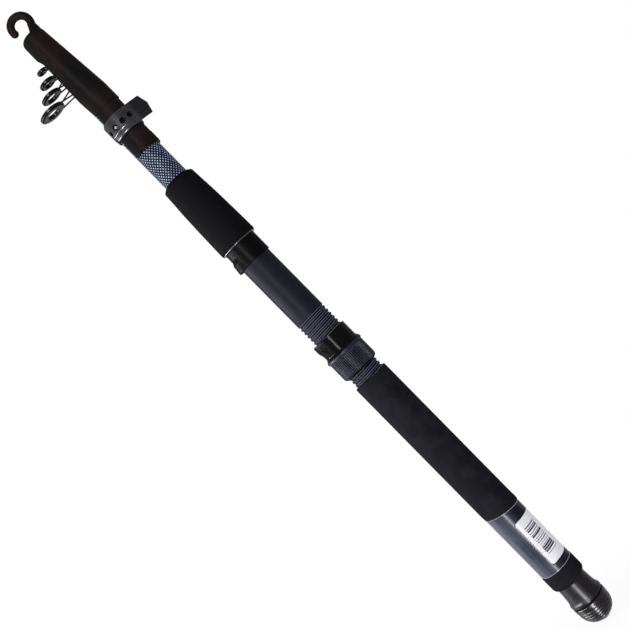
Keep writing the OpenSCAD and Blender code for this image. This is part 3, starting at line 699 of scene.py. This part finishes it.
class ROD_OT_reel_seat(bpy.types.Operator):
    """Model the seat tube with its helical thread"""

    bl_idname = "rod.reel_seat"
    bl_label = "Reel seat"

    def execute(self, context):
        sizes = context.scene.rod_sizes
        end, rim = SEAT_LOW + sizes.thread_length / MM, 0.5
        piece = self.thread(sizes.thread_pitch / MM, SEAT_R - sizes.thread_depth / MM, end)
        combine(piece, "UNION", lathe("seat_plain_end", [
            (SEAT_BORE, end - 3 * rim), *arc(SEAT_R - rim, end - 2 * rim, rim, -90, 0, 4),
            (SEAT_R, end + 20), (SEAT_R, end + 45), (SEAT_R, SEAT_TOP), (SEAT_BORE, SEAT_TOP)]))
        settle(piece, "handle", seat_finish(end - rim), "reel_seat", angle=30)
        return {"FINISHED"}

    @staticmethod
    def thread(pitch, root, end):
        """The threaded tube: one turn's outline is carried up a helix, cut level at both ends and given its bore."""
        crest = SEAT_R - 0.12
        turn = [(root, 0), (root, 0.14), (crest, 0.28), (SEAT_R, 0.32),
                (SEAT_R, 0.7), (crest, 0.74), (root, 0.88), (root, 1)]
        start = SEAT_LOW - 1.5 * pitch
        turns = math.ceil((end - start) / pitch) + 1
        piece = outline("seat_tube", [Vector((r * MM, 0, (start + share * pitch) * MM)) for r, share in turn])
        shape(piece, "SCREW", axis="Z", angle=FULL_TURN, screw_offset=pitch * MM, iterations=turns,
              steps=THREAD_STEPS, render_steps=THREAD_STEPS, use_merge_vertices=True, merge_threshold=MERGE_GAP)
        bpy.ops.object.mode_set(mode="EDIT")
        weld()
        inward = THREAD_BORE / root
        for height, upper in ((SEAT_LOW + 0.1, False), (end - 1.2, True)):
            centre = (0, 0, height * MM)
            bpy.ops.mesh.select_all(action="SELECT")
            bpy.ops.mesh.bisect(plane_co=centre, plane_no=(0, 0, 1), clear_inner=not upper, clear_outer=upper,
                                threshold=CUT_TOLERANCE)
            bpy.ops.mesh.extrude_region_move()
            bpy.ops.transform.resize(value=(inward, inward, 1), center_override=centre)
        bpy.ops.mesh.select_all(action="DESELECT")
        bpy.ops.mesh.select_non_manifold(use_wire=False, use_multi_face=False, use_non_contiguous=False,
                                         use_verts=False)
        bpy.ops.mesh.bridge_edge_loops()
        weld()
        return piece


class ROD_OT_lock_nut(bpy.types.Operator):
    """Model the ribbed lock nut"""

    bl_idname = "rod.lock_nut"
    bl_label = "Lock nut"
    STEPS_PER_RIB = 4
    GROOVE = 0.5

    def execute(self, context):
        steps = context.scene.rod_sizes.nut_ribs * self.STEPS_PER_RIB
        low, top, flange = NUT_LOW, NUT_TOP, FLANGE_R
        foot, floor = low + 0.1, low + 13.4
        body = flange - 0.8
        bore = SEAT_R + 0.25
        socket = bore + 0.75
        piece = lathe("ribbed_nut", [
            (bore, foot), (body - 2.0, foot), *arc(body - 2.6, low + 2.9, 2.6, -72, 0, 7), (body, low + 8),
            (body, top - 3.2), (body + 0.1, top - 2.6), (flange - 0.35, top - 2.3), (flange, top - 1.9),
            (flange, top - 0.7), (flange - 0.3, top - 0.1), (flange - 0.8, top), (socket, top), (socket, floor),
            (bore, floor)], steps)
        step = FULL_TURN / steps
        pick(piece, lambda p: p.xy.length > body - 2.4 and low + 0.3 < p.z < top - 3.0
             and round(math.atan2(p.y, p.x) / step) % self.STEPS_PER_RIB < self.STEPS_PER_RIB / 2)
        share = 1 - self.GROOVE / body
        bpy.ops.transform.resize(value=(share, share, 1), center_override=(0, 0, low * MM))
        settle(piece, "lock_nut", nut_finish(body), "lock_nut", angle=28)
        return {"FINISHED"}


class ROD_OT_hoods(bpy.types.Operator):
    """Model the sliding hood and the front hood with their lips"""

    bl_idname = "rod.hoods"
    bl_label = "Hoods"

    def execute(self, context):
        black = colour("gloss")
        self.sliding(moulded_finish("gloss black hood", black, rough=0.13, wear=0.01, grain=0.0, shine=0.014))
        self.front(moulded_finish("satin black hood", black, rough=0.34, wear=0.04, grain=0.0, shine=0.005))
        return {"FINISHED"}

    def sliding(self, gloss):
        """The hood that the nut pushes, flared over the nut and lifted where the reel's foot goes in."""
        r, bore, lip = SLIDE_R, SEAT_R + 0.22, 0.5
        skirt, shoulder = bore + 0.5, NUT_TOP + 0.15
        rows = spread(shoulder + 2.4, SLIDE_TOP - 0.8, 11)
        piece = lathe("sliding_hood_shell", [
            (bore, SLIDE_LOW), (skirt, SLIDE_LOW), (skirt, shoulder), (FLANGE_R - 0.6, shoulder),
            (FLANGE_R - 0.5, shoulder + 0.15), (r + 0.2, shoulder + 1.5), (r, shoulder + 2.0),
            *[(r, z) for z in rows], *arc(r - lip, SLIDE_TOP - lip, lip, 0, 180, 6),
            *[(bore, z) for z in reversed(rows[:-1])]])
        self.lift(piece, lambda p: p.z > SLIDE_TOP - 5.0 and self.facing(p, 40), out=1.15, ease=5.0)
        settle(piece, "sliding_hood", gloss, "sliding_hood")

    def front(self, satin):
        """The fixed hood, lifted along its mouth and more at its lip."""
        r, bore, lip, rim = FRONT_R, SEAT_R + 0.1, 0.42, 0.5
        rows = spread(FRONT_LOW + 1.0, FRONT_TOP - 0.6, 15)
        piece = lathe("front_hood_shell", [
            *arc(r - lip, FRONT_LOW + lip, lip, -180, 0, 6), *[(r, z) for z in rows],
            *arc(r - rim, FRONT_TOP - rim, rim, 0, 90, 4), (bore, FRONT_TOP), *[(bore, z) for z in reversed(rows)]])
        self.lift(piece, lambda p: p.z < FRONT_LOW + 7.6 and self.facing(p, 42), out=1.35, ease=3.2)
        self.lift(piece, lambda p: p.z < FRONT_LOW + 0.9 and self.facing(p, 36), out=0.55, ease=7.0)
        settle(piece, "handle", satin, "front_hood")

    @staticmethod
    def facing(point, half_angle):
        """Whether a point lies on the reel's side, within an angle to each hand."""
        return math.degrees(math.atan2(abs(point.y), -point.x)) < half_angle

    @staticmethod
    def lift(piece, test, out, ease):
        """Draws the picked points out on the reel's side, and their neighbours after them."""
        pick(piece, test)
        bpy.ops.transform.translate(value=(-out * MM, 0, 0), use_proportional_edit=True,
                                    proportional_edit_falloff="SMOOTH", proportional_size=ease * MM)
        bpy.ops.object.mode_set(mode="OBJECT")


class ROD_OT_butt(bpy.types.Operator):
    """Model the butt cap and the neck, and finish what is inside them and the trim ring"""

    bl_idname = "rod.butt"
    bl_label = "Butt"
    BEADS, BEAD, BEAD_DEPTH = 4, 2.2, 0.5
    BEAD_SHARES = (0.02, 0.1, 0.22, 0.36, 0.5, 0.64, 0.78, 0.9, 0.98)

    def execute(self, context):
        black = colour("cap")
        self.cap(moulded_finish("gloss moulded cap", black, rough=0.27, wear=0.02, grain=0.0, shine=0.15))
        self.neck(moulded_finish("satin moulded neck", black, rough=0.34, wear=0.03, grain=0.0, shine=0.09))
        paint("butt_washer", moulded_finish("matt washer", colour("washer"), rough=0.8, shine=0.02))
        paint("shock_pad", moulded_finish("black rubber", colour("pad"), rough=0.6))
        paint("threaded_bush", bush_finish())
        paint("fore_trim_ring", moulded_finish("grey trim", colour("trim"), rough=0.3))
        return {"FINISHED"}

    @staticmethod
    def neck(satin):
        """The neck, which runs out into a flange on the washer."""
        low, top, flange = reach("butt_collar")
        rim = 0.6
        run_out = [(flange, 1.6), (flange - 0.1, 2.1), (flange - 0.45, 2.7), (flange - 0.8, 3.4), (flange - 1.1, 4.6),
                   (NECK_STEM + 0.55, 7), (NECK_STEM + 0.3, 10), (NECK_STEM + 0.1, 14)]
        piece = lathe("butt_neck", [
            (NECK_BORE, low), *arc(flange - rim, low + rim, rim, -90, 0, 5), *[(out, low + up) for out, up in run_out],
            (NECK_STEM, REAR_LOW), (NECK_STEM, top), (NECK_BORE, top)], FINE_STEPS)
        settle(piece, "handle", satin, "butt_collar")

    def cap(self, gloss):
        """The screw-off cap: dome, four beads, grip ring and threaded plug."""
        ring_top = reach("butt_washer")[0]
        top, ring = reach("butt_cap")[1:]
        plug = reach("shock_pad")[2] + 0.2
        root = plug - 0.5
        body, foot = ring - 0.3, ring_top - 4.1
        low = foot - self.BEADS * self.BEAD
        arch = foot - 1.6
        dome = arch - 0.25

        def wall(z):
            return body - dome + math.sqrt(dome ** 2 - max(0, arch - z) ** 2)

        def bead(base, share):
            z = base + share * self.BEAD
            return wall(z) - self.BEAD_DEPTH * (1 - math.sqrt(1 - (2 * share - 1) ** 2)), z

        stations = [(0, 0), (4.0, 0), (4.2, 0.2), *[(wall(z), z) for z in spread(0.75, low - 0.35, 8)]]
        for k in range(self.BEADS):
            stations += [bead(low + k * self.BEAD, share) for share in self.BEAD_SHARES]
        stations += [*arc(ring - 1.0, foot + 1.0, 1.0, -80, 0, 6), *arc(ring - 0.7, ring_top - 0.7, 0.7, 0, 90, 5),
                     (root, ring_top)]
        for k in range(int((top - ring_top) / CAP_PITCH)):
            base = ring_top + CAP_PITCH * k
            stations += [(root, base + 0.4), (plug, base + 0.8), (plug, base + 1.4), (root, base + 1.8)]
        stations += [(root, top), (0, top)]
        piece = lathe("butt_cap_shell", stations, FINE_STEPS, closed=False)
        settle(piece, "butt_cap", gloss, "butt_cap")


class ROD_OT_label(bpy.types.Operator):
    """Model the label and the clear film over it"""

    bl_idname = "rod.label"
    bl_label = "Label and film"

    def execute(self, context):
        self.label()
        self.film()
        return {"FINISHED"}

    @staticmethod
    def label():
        """A thin sheet on the grip whose four corners are rounded."""
        inner = LABEL_R - SHEET_WALL
        corners = [(inner, LABEL_LOW), (LABEL_R, LABEL_LOW), (LABEL_R, LABEL_TOP), (inner, LABEL_TOP)]
        piece = sweep("label_sheet", corners, LABEL_START, LABEL_TURN, ROUND_STEPS)
        half, middle = (LABEL_TOP - LABEL_LOW) / 2, (LABEL_TOP + LABEL_LOW) / 2
        start, end = math.radians(LABEL_START), math.radians(LABEL_START + LABEL_TURN)
        pitch = math.radians(LABEL_TURN / ROUND_STEPS)
        for i in range(int(LABEL_CORNER / (LABEL_R * pitch)) + 1):
            cut = LABEL_CORNER - math.sqrt(LABEL_CORNER ** 2 - (LABEL_CORNER - i * pitch * LABEL_R) ** 2)
            for a in (start + i * pitch, end - i * pitch):
                pick(piece, lambda p: abs(math.atan2(p.y, p.x) - a) < pitch / 3)
                bpy.ops.transform.resize(value=(1, 1, 1 - cut / half), center_override=(0, 0, middle * MM))
        settle(piece, "handle", label_finish(), "label")

    @staticmethod
    def film():
        """A sleeve whose upper edge is cut at a slant."""
        rows = spread(FILM_LOW, FILM_MIDDLE, 6)
        piece = lathe("film_sleeve", [
            *[(FILM_R, z) for z in rows], *[(FILM_R - SHEET_WALL, z) for z in reversed(rows)]], FINE_STEPS)
        slant(piece, lambda p: abs(p.z - FILM_MIDDLE) < 0.5)
        settle(piece, "handle", film_finish(), "label_film")


class ROD_OT_guides(bpy.types.Operator):
    """Finish the line guides"""

    bl_idname = "rod.guides"
    bl_label = "Line guides"

    def execute(self, context):
        wire = moulded_finish("black wire", colour("wire"), rough=0.3, wear=0.05, grain=0.02, shine=0.04)
        ring = moulded_finish("polished hard ring", colour("ring"), rough=0.2, wear=0.04, grain=0.01, shine=0.05)
        for k in ("2", "3", "4", "5"):
            paint("guide_frame_" + k, wire)
            paint("guide_ring_" + k, ring)
        paint("tip_top_frame", wire)
        paint("tip_top_ring", ring)
        return {"FINISHED"}


class ROD_OT_tip_cover(bpy.types.Operator):
    """Finish the tip cover with its hook"""

    bl_idname = "rod.tip_cover"
    bl_label = "Tip cover"

    def execute(self, context):
        paint("tip_cover", cover_finish())
        return {"FINISHED"}


class ROD_OT_strap(bpy.types.Operator):
    """Model the strap's band and tail, with their chamfer and bead"""

    bl_idname = "rod.strap"
    bl_label = "Strap"
    BAND_START, BAND_TURN = -125, 308
    GAP = 0.25
    WRAP = range(-140, -74, 5)
    FREE_ROWS, POINT, LEAN = (6, 12, 16, 18.2), 1.8, 1.4
    HOLES, FREE_HOLE, HOLE_R = (-143, -113, -83), 5.0, 2.1

    def execute(self, context):
        t = context.scene.rod_sizes.strap_thickness / MM
        rubber = strap_finish()
        piece = sweep("strap_band_shell", [(BAND_R - t + out, z) for out, z in self.across(t)],
                      self.BAND_START, self.BAND_TURN, ROUND_STEPS, BAND_X)
        settle(piece, "handle", rubber, "strap_band")
        self.tail(t, rubber)
        paint("strap_stud", moulded_finish("moulded stud", colour("stud"), rough=0.25, shine=0.4))
        return {"FINISHED"}

    @staticmethod
    def across(t):
        """Outline across the strap: its chamfered lower side, a bead, a plain face and a softened upper edge."""
        face = t - 0.15
        bead = [(t - 0.3, -0.6), (t - 0.08, -0.3), (t, 0), (t - 0.08, 0.3), (t - 0.3, 0.6)]
        return [(0, BAND_LOW), (0.45 * t, BAND_LOW), *[(out, STRAP_BEAD + up) for out, up in bead],
                (face, BAND_LOW + 5.0), (face, BAND_MIDDLE), (face, BAND_TOP - 0.6), (t - 0.3, BAND_TOP - 0.15),
                (t - 0.5, BAND_TOP), (0, BAND_TOP), (0, BAND_MIDDLE)]

    def tail(self, t, rubber):
        """The free end: from its hinge round the band, then straight off to a blunt point, with four holes."""
        middle_r = BAND_R + self.GAP + t / 2
        turns = [math.radians(a) for a in self.WRAP]
        wrap = [Vector((BAND_X + middle_r * math.cos(a), middle_r * math.sin(a), 0)) for a in turns]
        leave = Vector((-math.sin(turns[-1]), math.cos(turns[-1]), 0))
        path = [Vector((HINGE[0], HINGE[1], 0)) / MM, *wrap, *[wrap[-1] + leave * along for along in self.FREE_ROWS]]
        piece = self.carry(path, t)
        end = path[-1]
        pick(piece, lambda p: (p - end).xy.length < t and abs(p.z - BAND_MIDDLE) < 0.1)
        bpy.ops.transform.translate(value=leave * self.POINT * MM)
        reach_out = self.FREE_ROWS[-1] + self.POINT
        for along in (*self.FREE_ROWS, reach_out):
            row = wrap[-1] + leave * along
            pick(piece, lambda p: (p - row).xy.length < 0.85 * t)
            bpy.ops.transform.translate(value=(0, 0, -self.LEAN * along / reach_out * MM))
        weld()
        fill_ends(16)
        centre = Vector((BAND_X, 0, BAND_MIDDLE))
        for a in self.HOLES:
            self.hole(piece, centre, math.radians(a), middle_r)
        self.hole(piece, centre + leave * self.FREE_HOLE, turns[-1], middle_r)
        settle(piece, "strap_tail", rubber, "strap_tail")

    def carry(self, path, t):
        """Extrudes the strap's outline along a path, turning it at each point."""
        heading = [(after - before).normalized() for before, after in zip(path, path[1:])]
        heading.append(heading[-1])
        outward = Vector((heading[0].y, -heading[0].x, 0))
        piece = section("strap_tail_shell", [
            (path[0] + outward * (out - t / 2) + Vector((0, 0, z))) * MM for out, z in self.across(t)])
        for before, after, old, new in zip(path, path[1:], heading, heading[1:]):
            bpy.ops.mesh.extrude_region_move(TRANSFORM_OT_translate={"value": (after - before) * MM})
            bend = math.atan2(old.x * new.y - old.y * new.x, old.dot(new))
            if abs(bend) > 1e-5:
                bpy.ops.transform.rotate(value=-bend, orient_axis="Z", center_override=after * MM)
        return piece

    def hole(self, piece, centre, angle, out):
        """Punches a round hole through the strap, square to its face."""
        place = centre + Vector((math.cos(angle), math.sin(angle), 0)) * out
        deselect()
        bpy.ops.mesh.primitive_cylinder_add(vertices=32, radius=self.HOLE_R * MM, depth=4 * MM, location=place * MM,
                                            rotation=(0, math.pi / 2, angle))
        combine(piece, "DIFFERENCE", bpy.context.object)


class ROD_OT_stage(bpy.types.Operator):
    """Set the camera, the lights and the pale ground"""

    bl_idname = "rod.stage"
    bl_label = "Stage"

    def execute(self, context):
        scene, stage = context.scene, context.scene.rod_stage
        scene.view_settings.view_transform = "Standard"
        deselect()
        self.camera(scene, stage)
        self.lamp("key_light", (-0.30, -0.85, 0.32), stage.key_power, (0.3, 0.9), visible_glossy=False)
        self.lamp("gloss_strip", (-0.17, -0.80, 0.15), stage.strip_power, (0.16, 1.9), visible_diffuse=False)
        self.lamp("edge_strip", (-0.80, 0.12, 0.15), stage.edge_power, (0.45, 1.9), visible_diffuse=False)
        self.lamp("seat_card", (-0.82, -0.05, 0.39), stage.card_power, (0.9, 0.22), visible_diffuse=False)
        self.lamp("side_box", (-0.75, -0.40, 0.32), stage.side_power, (0.35, 0.9))
        self.lamp("rim_strip", (0.72, 0.30, 0.32), stage.rim_power, (0.04, 0.9))
        self.floor()
        self.surround(scene)
        return {"FINISHED"}

    @staticmethod
    def camera(scene, stage):
        bpy.ops.object.camera_add(location=stage.eye)
        camera = scene.camera = bpy.context.object
        camera.name = "photo_camera"
        camera.rotation_euler = (Matrix.Rotation(math.pi / 2, 3, "X") @ Matrix.Rotation(stage.roll, 3, "Z")).to_euler()
        camera.data.lens = stage.lens
        camera.data.sensor_width = SENSOR_WIDTH
        camera.data.clip_start = 0.01

    @staticmethod
    def lamp(name, place, power, size, **visible):
        """A soft box that faces the rod's axis, unseen by the camera and by any other kind of ray that is named."""
        bpy.ops.object.light_add(type="AREA", location=place)
        lamp = bpy.context.object
        lamp.name = name
        lamp.data.energy = power
        lamp.data.shape = "RECTANGLE"
        lamp.data.size, lamp.data.size_y = size
        lamp.visible_camera = False
        for ray, seen in visible.items():
            setattr(lamp, ray, seen)
        toward = Vector((-place[0], -place[1], 0))
        lamp.rotation_euler = toward.to_track_quat("-Z", "Y").to_euler()

    @staticmethod
    def floor():
        bpy.ops.mesh.primitive_circle_add(vertices=64, radius=FLOOR_R, fill_type="NGON")
        floor = bpy.context.object
        floor.name = "pale_floor"
        bpy.ops.object.mode_set(mode="EDIT")
        bpy.ops.mesh.inset(thickness=FLOOR_R - SHADOW_R)
        bpy.ops.object.mode_set(mode="OBJECT")
        floor.data.materials.append(ground_finish())
        floor.visible_glossy = False

    @staticmethod
    def surround(scene):
        """White as it is seen, and a little darker as it lights."""
        scene.world = bpy.data.worlds.new("white studio")
        scene.world.use_nodes = True
        made = Nodes(scene.world.node_tree)
        white = made.tree.nodes["Background"].inputs
        made.join(white["Color"], colour("surround"))
        made.join(white["Strength"], made.fit(made.seen(), 0.0, 1.0, SURROUND_FILL, 1.0))


class ROD_PT_panel(bpy.types.Panel):
    """Lists the rod's pieces"""

    bl_label = "Telescopic rod"
    bl_idname = "ROD_PT_panel"
    bl_space_type = "VIEW_3D"
    bl_region_type = "UI"
    bl_category = "Rod"

    def draw(self, context):
        for group in (context.scene.rod_sizes, context.scene.rod_colours, context.scene.rod_stage):
            box = self.layout.box()
            for key in group.__annotations__:
                box.prop(group, key)
        for operator in OPERATORS:
            self.layout.operator(operator.bl_idname)


GROUPS = (RodSizes, RodColours, StageSettings)
OPERATORS = (ROD_OT_stage, ROD_OT_blanks, ROD_OT_grips, ROD_OT_reel_seat, ROD_OT_lock_nut, ROD_OT_hoods, ROD_OT_butt,
             ROD_OT_label, ROD_OT_guides, ROD_OT_tip_cover, ROD_OT_strap)


def register():
    for cls in (*GROUPS, *OPERATORS, ROD_PT_panel):
        bpy.utils.register_class(cls)
    bpy.types.Scene.rod_sizes = PointerProperty(type=RodSizes)
    bpy.types.Scene.rod_colours = PointerProperty(type=RodColours)
    bpy.types.Scene.rod_stage = PointerProperty(type=StageSettings)


def unregister():
    del bpy.types.Scene.rod_stage, bpy.types.Scene.rod_colours, bpy.types.Scene.rod_sizes
    for cls in reversed((*GROUPS, *OPERATORS, ROD_PT_panel)):
        bpy.utils.unregister_class(cls)


def main():
    register()
    for operator in OPERATORS:
        family, name = operator.bl_idname.split(".")
        getattr(getattr(bpy.ops, family), name)()


if __name__ == "__main__":
    main()
